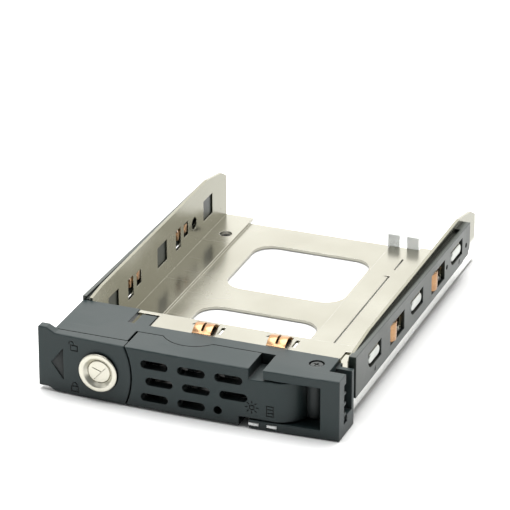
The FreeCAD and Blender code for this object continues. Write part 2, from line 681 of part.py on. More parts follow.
def rail_rivets():
    """Rivets that hold both rails to the side plates."""
    rivets = []
    for y, z in rail_rivet_places:
        shank = cylinder(rivet_radius, Vector(plate_outer, y, z), X_AXIS, rail_outer - plate_outer - 0.1)
        rivets += [shank, mirrored(shank)]
    return Part.makeCompound(rivets)


# ---------------------------------------------------------------- contact springs
leaf = 0.2


def side_spring(shift):
    """Right-hand leaf spring: bowed out through the rail, its tail woven through the plate's slots."""
    z = (8.9 - 0.4 * (shift > 0), 13.7 - 0.4 * (shift > 0))
    y0 = rail_spring_window[0] + 0.5 + shift
    on_plate = plate_outer + 0.15
    in_slot = plate_outer - 0.55
    reach = rail_outer + 0.45 - on_plate
    swell = []
    steps = 12
    for i in range(steps + 1):
        t = i / steps
        swell.append((on_plate + reach * math.sin(math.pi * t ** 0.8), y0 + 6.6 * t))
    bow = sheet_strip(swell[:-1], leaf, z)
    y_slot, y_next = spring_slot_front[0] + shift, spring_slot_rear[0] + shift
    tail_path = swell[-3:-1] + [
        (in_slot, y_slot + 1.7), (in_slot, y_slot + 2.3), (on_plate, y_slot + 3.3),
        (on_plate, y_next + 0.2), (in_slot, y_next + 1.2), (in_slot, y_next + 2.5),
    ]
    tail = sheet_strip(tail_path, leaf, (z[0], 11.2))
    return fuse_all([bow, tail])


def shield_spring(x):
    """Two-fingered contact spring clipped on the shield's flange."""
    top = shield_z[1]
    path = [(12.35 + 0.15, top + 0.14)]
    steps = 8
    for i in range(steps + 1):
        t = i / steps
        path.append((13.0 + 5.4 * t, top + 0.15 + 1.35 * math.sin(math.pi * min(t * 1.02, 1)) ** 0.9))
    path += [(18.5, top - 0.3), (18.5, top - 1.2)]
    strip = sheet_strip_x(path, leaf, (x - spring_width / 2, x + spring_width / 2))
    slit = block((x - 0.25, x + 0.25), (14.2, 18.2), (top - 0.5, top + 5))
    return strip.cut(slit)


# ---------------------------------------------------------------- light pipes
pipe_front_xs = (16.3, 21.0)
pipe_run_xs = (15.9, 20.0)      # middles of the long runs
pipe_tab_xs = (14.6, 20.0)      # and of the tabs at the rear
pipe_width = 2.8
pipe_tab_width = 3.2
pipe_top = floor_top - 0.05


def light_pipe(front_x, run_x, tab_x):
    """Clear flat light guide: from a window in the sill, under the strip, to an upturned tab."""
    half, half_front, half_tab = pipe_width / 2, 1.3, pipe_tab_width / 2
    tab_y = (tab_front, tab_front + 0.7)
    front_span = (front_x - half_front, front_x + half_front)
    tip = block(front_span, (bow_y(front_x), bezel_depth + 0.7), (0.8, 1.55))
    jog = block(front_span, (bezel_depth + 0.1, tray_front - 0.1), (0.1, 1.55))
    run = prism_z([
        (front_x - half_front, bezel_depth + 0.1), (front_x + half_front, bezel_depth + 0.1),
        (front_x + half_front, 15.0), (run_x + half, 24.0), (run_x + half, tab_y[1]),
        (run_x - half, tab_y[1]), (run_x - half, 24.0), (front_x - half_front, 15.0),
    ], (0.1, pipe_top))
    tab = block((tab_x - half_tab, tab_x + half_tab), tab_y, (0.1, 5.0))
    return fuse_all([tip, jog, run, tab])


# ---------------------------------------------------------------- fasteners
def pivot_screw():
    """Shoulder screw that the handle turns on, with a cross recess."""
    top = bezel_height - 0.15
    head = cylinder(1.8, Vector(pivot_x, pivot_y, bezel_height - 0.85), Z_AXIS, 0.7)
    shank = cylinder(pivot_radius, Vector(pivot_x, pivot_y, 0.4), Z_AXIS, bezel_height - 1.0)
    body = fuse_all([head, shank])
    cross = [
        block((pivot_x - 1.1, pivot_x + 1.1), (pivot_y - 0.2, pivot_y + 0.2), (top - 0.6, top + 1)),
        block((pivot_x - 0.2, pivot_x + 0.2), (pivot_y - 1.1, pivot_y + 1.1), (top - 0.6, top + 1)),
    ]
    return cut_all(body, cross)


def pivot_washer():
    """Friction washer between the hub and the bridge."""
    z0 = lever_arm_z[1] - 0.35
    disc = cylinder(2.0, Vector(pivot_x, pivot_y, z0), Z_AXIS, 0.6)
    return disc.cut(cylinder(pivot_radius + running, Vector(pivot_x, pivot_y, z0 - 1), Z_AXIS, 3))


def bezel_screws():
    """Pair of small screws from inside the shield into the bezel."""
    screws = []
    for x, z in bezel_screw_places:
        shank = cylinder(0.9, Vector(x, bezel_depth - 2.6, z), Y_AXIS, 3.6)
        head = cylinder(1.7, Vector(x, bezel_depth + 0.1 + sheet, z), Y_AXIS, 0.6)
        screws.append(fuse_all([shank, head]))
    return Part.makeCompound(screws)


# ---------------------------------------------------------------- all pieces
def make_nodes():
    nodes = {
        "tray": tray(),
        "front_shield": front_shield(),
        "bezel": bezel(),
        "handle_lever": lever(),
        "pivot_screw": pivot_screw(),
        "pivot_washer": pivot_washer(),
        "release_slide": release_slide(),
        "release_spring": release_spring(),
        "lock_housing": lock_housing(),
        "lock_core": lock_core(),
        "lock_cam": lock_cam(),
        "lock_clip": lock_clip(),
        "rail_right": right_rail(),
        "rail_rivets": rail_rivets(),
        "bezel_screws": bezel_screws(),
    }
    beside_roof = block((-rail_outer - 1, 0), (0, roof_rear + gap), (0, bezel_height + 5))
    nodes["rail_left"] = mirrored(nodes["rail_right"]).cut(beside_roof)
    for place, shift in (("front", 0), ("rear", window_pitch)):
        spring = side_spring(shift)
        nodes["side_spring_right_" + place] = spring
        nodes["side_spring_left_" + place] = mirrored(spring)
    for name, x in zip(("left", "right"), spring_xs):
        nodes["shield_spring_" + name] = shield_spring(x)
    pipe_places = zip(pipe_front_xs, pipe_run_xs, pipe_tab_xs)
    for name, places in zip(("power", "activity"), pipe_places):
        nodes["light_pipe_" + name] = light_pipe(*places)
    return nodes


def export():
    os.makedirs("parts", exist_ok=True)
    nodes = make_nodes()
    box = Part.makeCompound(list(nodes.values())).optimalBoundingBox(False, False)
    shift = Vector(-(box.XMin + box.XMax) / 2, -(box.YMin + box.YMax) / 2, -box.ZMin)
    for name, shape in nodes.items():
        shape = shape.copy()
        shape.translate(shift)
        if not shape.isValid():
            print("not valid:", name)
        shape.exportStep("parts/" + name + ".step")
    print("moved by", round(shift.x, 4), round(shift.y, 4), round(shift.z, 4))
    print("size", round(box.XLength, 2), round(box.YLength, 2), round(box.ZLength, 2))
    print(len(nodes), "nodes")


export()
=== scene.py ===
import json
import math

import bpy
import bmesh
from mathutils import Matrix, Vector


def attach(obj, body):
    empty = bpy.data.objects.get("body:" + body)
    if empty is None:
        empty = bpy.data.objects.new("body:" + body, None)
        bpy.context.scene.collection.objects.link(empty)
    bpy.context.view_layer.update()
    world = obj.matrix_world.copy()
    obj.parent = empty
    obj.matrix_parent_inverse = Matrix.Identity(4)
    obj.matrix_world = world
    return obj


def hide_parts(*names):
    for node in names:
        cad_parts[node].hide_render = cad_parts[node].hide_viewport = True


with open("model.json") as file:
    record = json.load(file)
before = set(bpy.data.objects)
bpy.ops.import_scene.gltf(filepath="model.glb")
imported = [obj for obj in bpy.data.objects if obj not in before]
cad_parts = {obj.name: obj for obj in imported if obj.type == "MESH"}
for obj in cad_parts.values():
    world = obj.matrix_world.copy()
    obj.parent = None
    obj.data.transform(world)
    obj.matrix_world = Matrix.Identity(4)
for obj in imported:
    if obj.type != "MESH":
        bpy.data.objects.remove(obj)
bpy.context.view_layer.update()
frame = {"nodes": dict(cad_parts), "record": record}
cadNodes = frame["nodes"]
bpy.ops.object.select_all(action="DESELECT")
mm = 0.001
print("frame loaded with", len(cadNodes), "nodes")


# camera and light
cameraLook = {"place": (0.2898, -0.7596, 0.3968), "azimuth": 21.12, "elevation": 24.90, "lens": 245.7}
roomLook = {"dim": (0.20, 0.21, 0.21), "bright": (2.15, 2.13, 2.08), "brightSide": (-0.36, 0.83, 0.44),
            "floor": (0.92, 0.92, 0.92), "floorSide": 6.0, "floorRoughness": 0.7, "floorGloss": 0.2}
lampLook = [
    {"name": "softboxAbove", "place": (-0.05, 0.10, 1.15), "size": (1.0, 0.9), "power": 15.0},
    {"name": "softboxLeft", "place": (-1.00, -0.75, 0.55), "size": (0.6, 0.6), "power": 1.5},
]


def lookAlong(thing, direction):
    thing.rotation_mode = "QUATERNION"
    thing.rotation_quaternion = Vector(direction).to_track_quat("-Z", "Y")


def makeCamera(look):
    data = bpy.data.cameras.new("studioCamera")
    data.lens = look["lens"]
    data.sensor_width = 36.0
    data.clip_start, data.clip_end = 0.05, 20.0
    camera = bpy.data.objects.new("studioCamera", data)
    bpy.context.scene.collection.objects.link(camera)
    a, e = math.radians(look["azimuth"]), math.radians(look["elevation"])
    camera.location = look["place"]
    lookAlong(camera, (-math.sin(a) * math.cos(e), math.cos(a) * math.cos(e), -math.sin(e)))
    bpy.context.scene.camera = camera


def makeRoom(look):
    world = bpy.data.worlds.new("paleRoom")
    world.use_nodes = True
    tree = world.node_tree
    side = Vector(look["brightSide"]).normalized()
    direction = addNode(tree, "ShaderNodeTexCoord").outputs["Generated"]
    facing = vectorMath(tree, "DOT_PRODUCT", direction, side, "Value")
    wall = blendColour(tree, spread(tree, facing, 0.0, 0.95), (*look["dim"], 1.0), (*look["bright"], 1.0))
    tree.links.new(wall, tree.nodes["Background"].inputs["Color"])
    bpy.context.scene.world = world
    bpy.ops.mesh.primitive_plane_add(size=look["floorSide"], location=(0, 0, -0.0002))
    floor = bpy.context.object
    floor.name = "studioFloor"
    paint = bpy.data.materials.new("paleFloor")
    paint.use_nodes = True
    shader = paint.node_tree.nodes["Principled BSDF"]
    shader.inputs["Base Color"].default_value = (*look["floor"], 1.0)
    shader.inputs["Roughness"].default_value = look["floorRoughness"]
    shader.inputs["Specular IOR Level"].default_value = look["floorGloss"]
    floor.data.materials.append(paint)
    bpy.ops.object.select_all(action="DESELECT")


def makeLamps(looks):
    for look in looks:
        data = bpy.data.lights.new(look["name"], "AREA")
        data.shape = "RECTANGLE"
        data.size, data.size_y = look["size"]
        data.energy = look["power"]
        lamp = bpy.data.objects.new(look["name"], data)
        bpy.context.scene.collection.objects.link(lamp)
        lamp.location = look["place"]
        lookAlong(lamp, -Vector(look["place"]))


# shader building
def addNode(tree, kind, settings=None, inputs=None):
    # a node with its settings, and its inputs joined to sockets or given values
    node = tree.nodes.new(kind)
    for key, value in (settings or {}).items():
        setattr(node, key, value)
    for key, value in (inputs or {}).items():
        if isinstance(value, bpy.types.NodeSocket):
            tree.links.new(value, node.inputs[key])
        else:
            node.inputs[key].default_value = value
    return node


def newGroup(name, takes, gives):
    group = bpy.data.node_groups.new(name, "ShaderNodeTree")
    for label, kind, value in takes:
        socket = group.interface.new_socket(name=label, in_out="INPUT", socket_type="NodeSocket" + kind)
        if value is not None:
            socket.default_value = value
    for label, kind in gives:
        group.interface.new_socket(name=label, in_out="OUTPUT", socket_type="NodeSocket" + kind)
    entry = group.nodes.new("NodeGroupInput").outputs
    leave = group.nodes.new("NodeGroupOutput").inputs
    return group, entry, leave


def mathNode(tree, operation, a, b=0.0, clamp=False):
    settings = {"operation": operation, "use_clamp": clamp}
    return addNode(tree, "ShaderNodeMath", settings, {0: a, 1: b}).outputs[0]


def vectorMath(tree, operation, a, b, result="Vector"):
    return addNode(tree, "ShaderNodeVectorMath", {"operation": operation}, {0: a, 1: b}).outputs[result]


def objectPlace(tree):
    return addNode(tree, "ShaderNodeTexCoord").outputs["Object"]


def noise(tree, place, scale, detail):
    inputs = {"Vector": place, "Scale": scale, "Detail": detail}
    return addNode(tree, "ShaderNodeTexNoise", {}, inputs).outputs[0]


def stretched(tree, place, rotation, scale):
    # the place turned and squeezed, so that a noise becomes thin streaks
    inputs = {"Vector": place, "Rotation": rotation, "Scale": scale}
    return addNode(tree, "ShaderNodeMapping", {}, inputs).outputs[0]


def openness(tree, reach, onlyLocal):
    # 1 out in the open, less in creases and hollows no wider than the reach
    settings = {"samples": 6, "only_local": onlyLocal}
    return addNode(tree, "ShaderNodeAmbientOcclusion", settings, {"Distance": reach}).outputs["AO"]


def spread(tree, value, low, high, toLow=0.0, toHigh=1.0):
    inputs = {"Value": value, "From Min": low, "From Max": high, "To Min": toLow, "To Max": toHigh}
    return addNode(tree, "ShaderNodeMapRange", {"interpolation_type": "SMOOTHSTEP"}, inputs).outputs["Result"]


def blendColour(tree, factor, a, b, mode="MIX"):
    node = addNode(tree, "ShaderNodeMix", {"data_type": "RGBA", "blend_type": mode})
    for index, value in ((0, factor), (6, a), (7, b)):
        if isinstance(value, bpy.types.NodeSocket):
            tree.links.new(value, node.inputs[index])
        else:
            node.inputs[index].default_value = value
    return node.outputs[2]


# bend and patches shape the edge mark, partly wear and partly painted highlight; crevice and hollow shape
# painted shade in creases and hollows
wearHighlightShadeLook = {"bend": (0.995, 0.80), "patches": (0.35, 0.65), "creviceReach": 0.0009,
            "crevice": (0.75, 0.25), "hollow": (0.78, 0.32)}


def makeWearHighlightAndShade(look):
    # how near a sharp edge is, broken up into uneven patches, for an edge colour that is partly wear and
    # partly painted highlight; and how deep in a crease or hollow, for painted shade
    group, entry, leave = newGroup(
        "edgeWear",
        [("Width", "Float", 0.0004), ("Breakup Scale", "Float", 900.0), ("Breakup", "Float", 0.5),
         ("Hollow Reach", "Float", 0.009)],
        [("Edge", "Float"), ("Crevice", "Float"), ("Hollow", "Float"), ("Rounded Normal", "Vector")],
    )
    soft = addNode(group, "ShaderNodeBevel", {"samples": 6}, {"Radius": entry["Width"]}).outputs["Normal"]
    plain = addNode(group, "ShaderNodeNewGeometry").outputs["Normal"]
    same = vectorMath(group, "DOT_PRODUCT", soft, plain, "Value")
    bend = spread(group, same, *look["bend"])
    patchy = noise(group, objectPlace(group), entry["Breakup Scale"], 3.0)
    sheenPatch = spread(group, patchy, *look["patches"])
    kept = mathNode(group, "SUBTRACT", 1.0, mathNode(group, "MULTIPLY", entry["Breakup"], sheenPatch))
    group.links.new(mathNode(group, "MULTIPLY", bend, kept, True), leave["Edge"])
    # painted shade masks: darker in creases, and in hollows such as the handle pocket
    near = openness(group, look["creviceReach"], True)
    group.links.new(spread(group, near, *look["crevice"]), leave["Crevice"])
    wide = openness(group, entry["Hollow Reach"], False)
    group.links.new(spread(group, wide, *look["hollow"]), leave["Hollow"])
    group.links.new(soft, leave["Rounded Normal"])
    return group


grainLook = {"fine": 0.7, "pits": 0.3, "shade": (0.3, 0.7), "streaks": (40, 1200, 400),
             "streakTurn": (0.3, 0.2, 0.6), "marks": (0.64, 0.74)}


def makeMouldGrain(look):
    # spark-eroded texture of moulded plastic, with slow shade changes and faint handling marks
    group, entry, leave = newGroup(
        "mouldGrain",
        [("Grain Scale", "Float", 2600.0), ("Shade Scale", "Float", 60.0)],
        [("Height", "Float"), ("Shade", "Float"), ("Marks", "Float")],
    )
    place = objectPlace(group)
    fine = noise(group, place, entry["Grain Scale"], 2.0)
    cells = {"Vector": place, "Scale": entry["Grain Scale"]}
    pits = addNode(group, "ShaderNodeTexVoronoi", {"feature": "SMOOTH_F1"}, cells).outputs["Distance"]
    height = mathNode(group, "ADD", mathNode(group, "MULTIPLY", fine, look["fine"]),
                      mathNode(group, "MULTIPLY", pits, look["pits"]))
    shade = noise(group, place, entry["Shade Scale"], 4.0)
    marks = noise(group, stretched(group, place, look["streakTurn"], look["streaks"]), 1.0, 3.0)
    group.links.new(height, leave["Height"])
    group.links.new(spread(group, shade, *look["shade"]), leave["Shade"])
    group.links.new(spread(group, marks, *look["marks"]), leave["Marks"])
    return group


sheetLook = {"cloud": (0.3, 0.7), "scratches": (45, 2100, 900), "scratchTurn": (0.1, 0.25, 0.9),
             "scratch": (0.72, 0.78)}


def makeRolledSheet(look):
    # rolling lines along the sheet, cloudy plating and small scratches
    group, entry, leave = newGroup(
        "rolledSheet",
        [("Line Direction", "Vector", (60.0, 2600.0, 2600.0)), ("Cloud Scale", "Float", 55.0)],
        [("Lines", "Float"), ("Cloud", "Float"), ("Scratches", "Float")],
    )
    place = objectPlace(group)
    along = vectorMath(group, "MULTIPLY", place, entry["Line Direction"])
    lines = noise(group, along, 1.0, 3.0)
    cloud = noise(group, place, entry["Cloud Scale"], 5.0)
    scratch = noise(group, stretched(group, place, look["scratchTurn"], look["scratches"]), 1.0, 1.0)
    group.links.new(lines, leave["Lines"])
    group.links.new(spread(group, cloud, *look["cloud"]), leave["Cloud"])
    group.links.new(spread(group, scratch, *look["scratch"]), leave["Scratches"])
    return group


makeCamera(cameraLook)
makeRoom(roomLook)
makeLamps(lampLook)
bpy.context.scene.view_settings.view_transform = "Standard"
print("camera, floor and lamps are in place")

edgeWear = makeWearHighlightAndShade(wearHighlightShadeLook)
mouldGrain = makeMouldGrain(grainLook)
rolledSheet = makeRolledSheet(sheetLook)


def startMaterial(name):
    paint = bpy.data.materials.new(name)
    paint.use_nodes = True
    tree = paint.node_tree
    return paint, tree, tree.nodes["Principled BSDF"].inputs


def useGroup(tree, group, inputs):
    return addNode(tree, "ShaderNodeGroup", {"node_tree": group}, inputs).outputs


def plastic(look):
    paint, tree, shader = startMaterial(look["name"])
    wearAndLight = useGroup(tree, edgeWear, {"Width": look["edgeWidth"], "Breakup": look["edgeBreakup"]})
    grain = useGroup(tree, mouldGrain, {"Grain Scale": look["grainScale"], "Shade Scale": look["shadeScale"]})
    base = blendColour(tree, grain["Shade"], (*look["dark"], 1.0), (*look["light"], 1.0))
    # edge colour: partly wear, partly painted highlight
    edgeAmount = mathNode(tree, "MULTIPLY", wearAndLight["Edge"], look["edgeAmount"])
    base = blendColour(tree, edgeAmount, base, (*look["edge"], 1.0))
    # painted shade: creases and hollows are darkened towards the crevice colour
    for place, amount in (("Crevice", look["creviceAmount"]), ("Hollow", look["hollowAmount"])):
        paintedShade = mathNode(tree, "MULTIPLY", wearAndLight[place], amount)
        base = blendColour(tree, paintedShade, base, (*look["crevice"], 1.0))
    tree.links.new(base, shader["Base Color"])
    smoothest, roughest = look["roughness"] - look["roughSpread"], look["roughness"] + look["roughSpread"]
    rough = spread(tree, grain["Shade"], 0.0, 1.0, smoothest, roughest)
    rough = mathNode(tree, "SUBTRACT", rough, mathNode(tree, "MULTIPLY", grain["Marks"], look["marks"]), True)
    tree.links.new(rough, shader["Roughness"])
    shader["IOR"].default_value = look["ior"]
    shader["Specular IOR Level"].default_value = look["gloss"]
    bump = addNode(tree, "ShaderNodeBump", {}, {
        "Strength": look["grainStrength"], "Distance": look["grainDepth"],
        "Height": grain["Height"], "Normal": wearAndLight["Rounded Normal"]})
    tree.links.new(bump.outputs[0], shader["Normal"])
    return paint


def plateShadeAndSheen(tree, base, look):
    # painted shade: the side plates are darkened with a duller tint than the floor; painted reflection: their
    # outside below the rails is painted near white
    place = addNode(tree, "ShaderNodeSeparateXYZ", {}, {0: objectPlace(tree)}).outputs
    aside = mathNode(tree, "ABSOLUTE", mathNode(tree, "SUBTRACT", place["X"], look["middle"]))
    plates = spread(tree, aside, *look["inner"])
    outside = spread(tree, aside, *look["outer"])
    low = spread(tree, place["Z"], *look["belowRail"])
    # painted shade on both side plates
    base = blendColour(tree, plates, base, blendColour(tree, 1.0, base, (*look["shadeTint"], 1.0), "MULTIPLY"))
    # painted reflection: a near-white sheen on the outside of the plates below the rails
    return blendColour(tree, mathNode(tree, "MULTIPLY", outside, low), base, (*look["sheenPatch"], 1.0))


def metal(look):
    paint, tree, shader = startMaterial(look["name"])
    wearAndLight = useGroup(tree, edgeWear, {"Width": look["edgeWidth"], "Breakup": look["edgeBreakup"]})
    sheet = useGroup(tree, rolledSheet, {"Line Direction": look["lines"], "Cloud Scale": look["cloudScale"]})
    base = blendColour(tree, sheet["Cloud"], (*look["dark"], 1.0), (*look["light"], 1.0))
    # edge colour: partly wear, partly painted highlight
    edgeAmount = mathNode(tree, "MULTIPLY", wearAndLight["Edge"], look["edgeAmount"])
    base = blendColour(tree, edgeAmount, base, (*look["edge"], 1.0))
    # painted shade and painted reflection on the side plates
    if "plates" in look:
        base = plateShadeAndSheen(tree, base, look["plates"])
    tree.links.new(base, shader["Base Color"])
    shader["Metallic"].default_value = 1.0
    least, most = look["roughRange"]
    rough = spread(tree, sheet["Cloud"], 0.0, 1.0, look["roughness"] * least, look["roughness"] * most)
    scratches = mathNode(tree, "MULTIPLY", sheet["Scratches"], look["scratchAmount"])
    rough = mathNode(tree, "ADD", rough, scratches, True)
    tree.links.new(rough, shader["Roughness"])
    bump = addNode(tree, "ShaderNodeBump", {}, {
        "Strength": look["lineStrength"], "Distance": look["lineDepth"],
        "Height": sheet["Lines"], "Normal": wearAndLight["Rounded Normal"]})
    tree.links.new(bump.outputs[0], shader["Normal"])
    return paint


def clearPlastic(look):
    paint, tree, shader = startMaterial(look["name"])
    grain = useGroup(tree, mouldGrain, {"Grain Scale": look["grainScale"], "Shade Scale": look["shadeScale"]})
    base = blendColour(tree, grain["Shade"], (*look["dark"], 1.0), (*look["light"], 1.0))
    tree.links.new(base, shader["Base Color"])
    least, most = look["roughRange"]
    rough = spread(tree, grain["Shade"], 0.0, 1.0, look["roughness"] * least, look["roughness"] * most)
    tree.links.new(rough, shader["Roughness"])
    shader["IOR"].default_value = look["ior"]
    shader["Transmission Weight"].default_value = look["clear"]
    bump = addNode(tree, "ShaderNodeBump", {}, {
        "Strength": look["grainStrength"], "Distance": look["grainDepth"], "Height": grain["Height"]})
    tree.links.new(bump.outputs[0], shader["Normal"])
    return paint


# colours are linear; widths and depths are in metres
slatePlastic = {
    "name": "slatePlastic", "dark": (0.008, 0.0195, 0.0205), "light": (0.011, 0.0240, 0.0250),
    # edge colour is partly wear and partly painted highlight; crevice colour is painted shade
    "edge": (0.08, 0.10, 0.095), "crevice": (0.003, 0.005, 0.005),
    "creviceAmount": 0.85, "hollowAmount": 0.9,
    "edgeWidth": 0.00035, "edgeBreakup": 0.5, "edgeAmount": 0.35,
    "roughness": 0.46, "roughSpread": 0.04, "marks": 0.06, "gloss": 0.42, "ior": 1.5,
    "grainScale": 2600.0, "grainDepth": 0.00003, "grainStrength": 0.35, "shadeScale": 70.0,
}
plainMetal = {
    "edgeWidth": 0.00015, "edgeBreakup": 0.4, "edgeAmount": 0.5,
    "roughness": 0.35, "roughRange": (0.85, 1.15), "scratchAmount": 0.12,
    "cloudScale": 400.0, "lines": (900.0, 900.0, 900.0), "lineStrength": 0.2, "lineDepth": 0.00001,
}
paleAcrylic = {
    "name": "clearAcrylic", "dark": (0.88, 0.90, 0.89), "light": (0.95, 0.96, 0.95),
    "clear": 0.35, "ior": 1.49, "roughness": 0.38, "roughRange": (0.6, 1.4), "shadeScale": 200.0,
    "grainScale": 1800.0, "grainDepth": 0.00002, "grainStrength": 0.15,
}
looks = {
    "bezel_plastic": plastic(slatePlastic),
    "lever_plastic": plastic({**slatePlastic, "name": "leverPlastic", "roughness": 0.48}),
    "slide_plastic": plastic({**slatePlastic, "name": "slidePlastic", "roughness": 0.48}),
    "rail_plastic": plastic({
        **slatePlastic, "name": "railPlastic", "dark": (0.027, 0.037, 0.030), "light": (0.033, 0.043, 0.036),
        "roughness": 0.34, "grainStrength": 0.15}),
    "washer_nylon": plastic({
        **slatePlastic, "name": "washerNylon", "dark": (0.62, 0.60, 0.55), "light": (0.70, 0.68, 0.63),
        "edge": (0.75, 0.73, 0.70)}),
    "nickel_steel": metal({
        **plainMetal, "name": "nickelSheet", "dark": (0.335, 0.326, 0.275), "light": (0.390, 0.382, 0.330),
        "edge": (0.70, 0.68, 0.61),
        # plates: a painted shade tint on the side plates and a painted near-white reflection below the rails
        "plates": {"middle": 0.0014251, "inner": (0.0352, 0.0355), "outer": (0.0361, 0.03625),
                   "belowRail": (0.0072, 0.0047), "shadeTint": (0.72, 0.72, 0.67), "sheenPatch": (0.95, 0.95, 0.93)},
        "edgeWidth": 0.00025, "edgeBreakup": 0.5, "edgeAmount": 0.7, "roughness": 0.24, "cloudScale": 45.0,
        "lines": (2400.0, 45.0, 2400.0), "lineStrength": 0.18}),
    "contact_bronze": metal({
        **plainMetal, "name": "contactBronze", "dark": (0.34, 0.19, 0.10), "light": (0.43, 0.26, 0.14),
        "edge": (0.62, 0.43, 0.28), "edgeBreakup": 0.6, "edgeAmount": 0.6, "roughness": 0.26,
        "cloudScale": 300.0, "lines": (200.0, 3000.0, 3000.0), "lineStrength": 0.25}),
    "lock_nickel": metal({
        **plainMetal, "name": "lockNickel", "dark": (0.60, 0.58, 0.49), "light": (0.68, 0.66, 0.57),
        "edge": (0.85, 0.84, 0.76), "edgeWidth": 0.0002, "edgeBreakup": 0.3, "edgeAmount": 0.6,
        "roughness": 0.34, "cloudScale": 350.0, "lines": (4200.0, 300.0, 300.0), "lineStrength": 0.3}),
    "rivet_steel": metal({
        **plainMetal, "name": "rivetSteel", "dark": (0.56, 0.56, 0.53), "light": (0.68, 0.68, 0.64),
        "edge": (0.85, 0.85, 0.8)}),
    "spring_wire": metal({
        **plainMetal, "name": "springWire", "dark": (0.50, 0.50, 0.49), "light": (0.62, 0.62, 0.60),
        "edge": (0.8, 0.8, 0.8), "edgeWidth": 0.0001, "edgeAmount": 0.4, "roughness": 0.3,
        "cloudScale": 500.0, "lines": (2500.0, 2500.0, 400.0)}),
    "black_steel": metal({
        **plainMetal, "name": "blackSteel", "dark": (0.045, 0.05, 0.05), "light": (0.07, 0.075, 0.075),
        "edge": (0.40, 0.40, 0.38), "edgeWidth": 0.00012, "edgeBreakup": 0.6, "roughness": 0.36,
        "cloudScale": 500.0, "lines": (1500.0, 1500.0, 600.0)}),
    "lockCollar": plastic({
        **slatePlastic, "name": "lockCollar", "dark": (0.004, 0.004, 0.003), "light": (0.006, 0.006, 0.005),
        "edge": (0.02, 0.02, 0.02), "gloss": 0.2, "roughness": 0.6}),
    "inlay": plastic({
        **slatePlastic, "name": "darkInlay", "dark": (0.006, 0.009, 0.009), "light": (0.008, 0.012, 0.012),
        "edge": (0.03, 0.035, 0.035), "roughness": 0.55}),
    "eyePad": metal({
        **plainMetal, "name": "eyePad", "dark": (0.46, 0.48, 0.45), "light": (0.56, 0.58, 0.55),
        "edge": (0.80, 0.80, 0.76), "edgeWidth": 0.0003, "edgeBreakup": 0.3, "edgeAmount": 0.3,
        "cloudScale": 300.0}),
    "lightWindow": clearPlastic({
        **paleAcrylic, "name": "frostedWindow", "dark": (0.86, 0.87, 0.86), "light": (0.93, 0.94, 0.93),
        "clear": 0.15, "roughness": 0.4, "shadeScale": 300.0}),
    "clear_acrylic": clearPlastic(paleAcrylic),
}
print("materials are mixed:", len(looks))


# every CAD node wears the finish of its slot
nodeSlots = {row["node"]: row["material_slot"] for row in frame["record"]["subparts"]}
for nodeName, node in cadNodes.items():
    paint = looks[nodeSlots[nodeName]]
    if node.material_slots:
        for materialSlot in node.material_slots:
            materialSlot.material = paint
    else:
        node.data.materials.append(paint)
print("CAD nodes are painted")


# modelling helpers; sizes are in mm, and places are those of the carrier's drawing
frameShift = Vector((1.4251, -55.4027, 0.0))
bowRadius, bowDepth = 608.617, 1.2
weldGap = 0.000002    # metres
thinBevel = {"width": 0.03 * mm, "segments": 2, "limit_method": "ANGLE"}


def at(x, y, z):
    # a point of the carrier's drawing, in metres in the frame
    return (Vector((x, y, z)) + frameShift) * mm


def bowFront(x):
    # where the gently bowed front face is, at x
    return bowRadius - bowDepth - math.sqrt(bowRadius ** 2 - x ** 2)


def nameIt(name):
    piece = bpy.context.object
    piece.name = piece.data.name = name
    return piece


def edit(piece):
    bpy.ops.object.select_all(action="DESELECT")
    bpy.context.view_layer.objects.active = piece
    piece.select_set(True)
    bpy.ops.object.mode_set(mode="EDIT")
    bpy.ops.mesh.select_all(action="DESELECT")


def leaveEdit():
    bpy.ops.object.mode_set(mode="OBJECT")


def pick(piece, kind, test):
    # selects faces or edges or verts in edit mode, by a test on their middle
    bpy.ops.mesh.select_all(action="DESELECT")
    bpy.ops.mesh.select_mode(type={"faces": "FACE", "edges": "EDGE", "verts": "VERT"}[kind])
    mesh = bmesh.from_edit_mesh(piece.data)
    for part in getattr(mesh, kind):
        if kind == "faces":
            middle = part.calc_center_median()
        elif kind == "edges":
            middle = (part.verts[0].co + part.verts[1].co) / 2
        else:
            middle = part.co
        if test(piece.matrix_world @ middle):
            part.select_set(True)
    bmesh.update_edit_mesh(piece.data)


def pull(value):
    bpy.ops.mesh.extrude_region_move(TRANSFORM_OT_translate={"value": value})


def applyModifier(piece, kind, settings):
    bpy.context.view_layer.objects.active = piece
    modifier = piece.modifiers.new(kind.lower(), kind)
    for key, value in settings.items():
        setattr(modifier, key, value)
    bpy.ops.object.modifier_apply(modifier=modifier.name)


def settle(piece, paint, body, smoothAngle=35.0):
    # origin and scale cleaned, outward normals, smooth shading and finish
    bpy.ops.object.select_all(action="DESELECT")
    bpy.context.view_layer.objects.active = piece
    piece.select_set(True)
    bpy.ops.object.transform_apply(location=True, rotation=True, scale=True)
    edit(piece)
    bpy.ops.mesh.select_all(action="SELECT")
    bpy.ops.mesh.remove_doubles(threshold=weldGap)
    bpy.ops.mesh.normals_make_consistent(inside=False)
    leaveEdit()
    bpy.ops.object.shade_smooth_by_angle(angle=math.radians(smoothAngle))
    piece.data.materials.clear()
    piece.data.materials.append(paint)
    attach(piece, body)
    bpy.ops.object.select_all(action="DESELECT")


